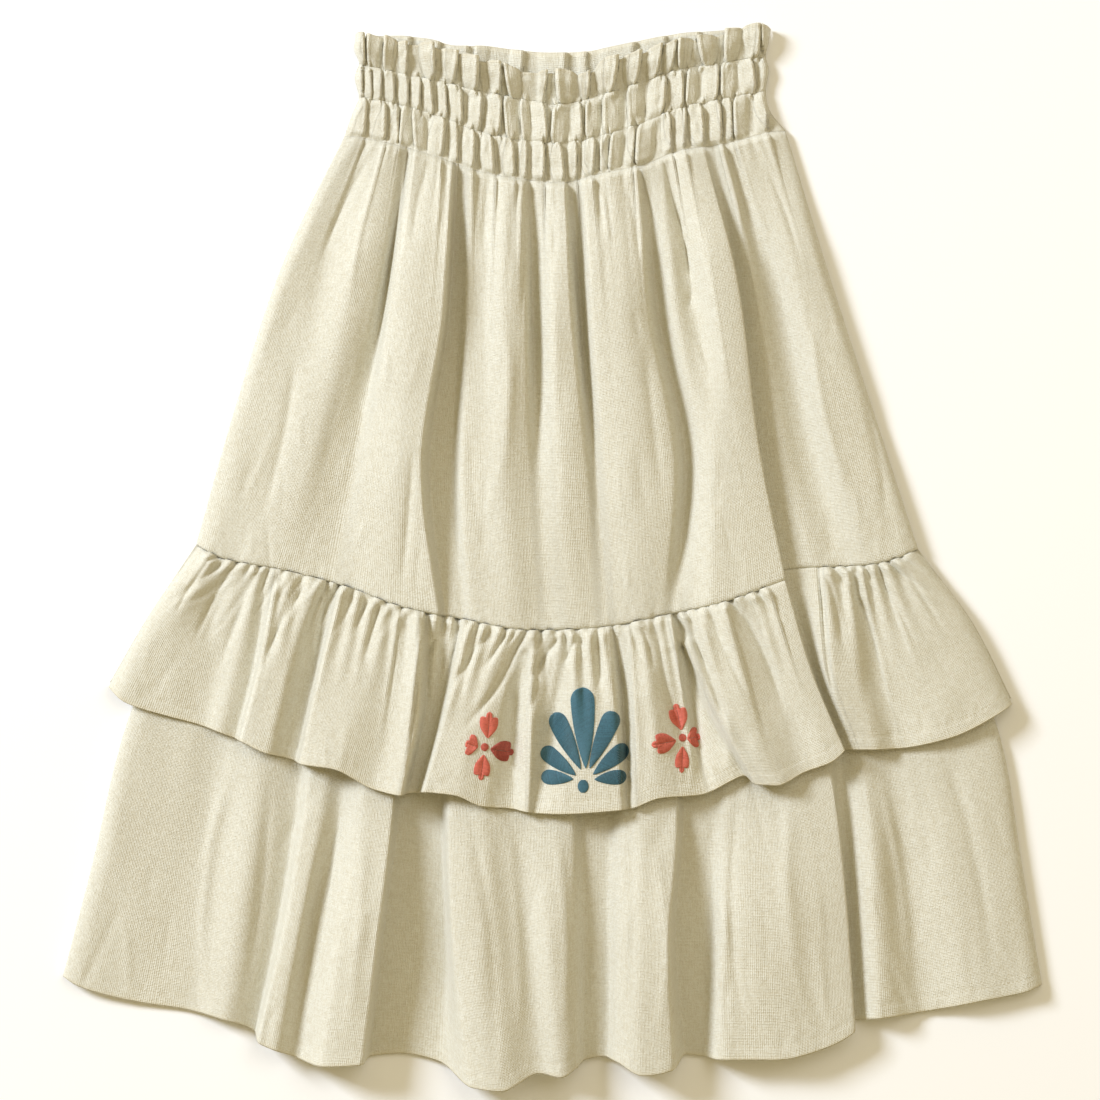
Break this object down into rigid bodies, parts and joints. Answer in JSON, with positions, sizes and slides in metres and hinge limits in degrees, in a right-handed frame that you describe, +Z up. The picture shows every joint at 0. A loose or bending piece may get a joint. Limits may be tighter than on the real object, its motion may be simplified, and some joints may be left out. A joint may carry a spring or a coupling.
{
  "type": "linen skirt",
  "caption": "Child's cream linen midi skirt laid flat: shirred frilled waistband, upper panel, gathered flounce and lower tier, with soft folds.",
  "frame": {"origin": "on the surface that the skirt lies on, under the middle of its outline", "axes": "+X across the skirt, +Y from the hem to the waist, +Z up off the surface"},
  "size_m": [0.5874, 0.6384, 0.0235],
  "materials": {
    "linen": "soft washed linen with slubs, matt",
    "thread": "matt sewing thread",
    "embroidery_blue": "satin stitched cotton floss",
    "embroidery_coral": "satin stitched cotton floss"
  },
  "bodies": {
    "root": {"waistband_front": "linen", "waistband_back": "linen", "front_panel": "linen", "back_panel": "linen", "ruffle_front": "linen", "ruffle_back": "linen", "lower_tier_front": "linen", "lower_tier_back": "linen"}
  },
  "joints": []
}
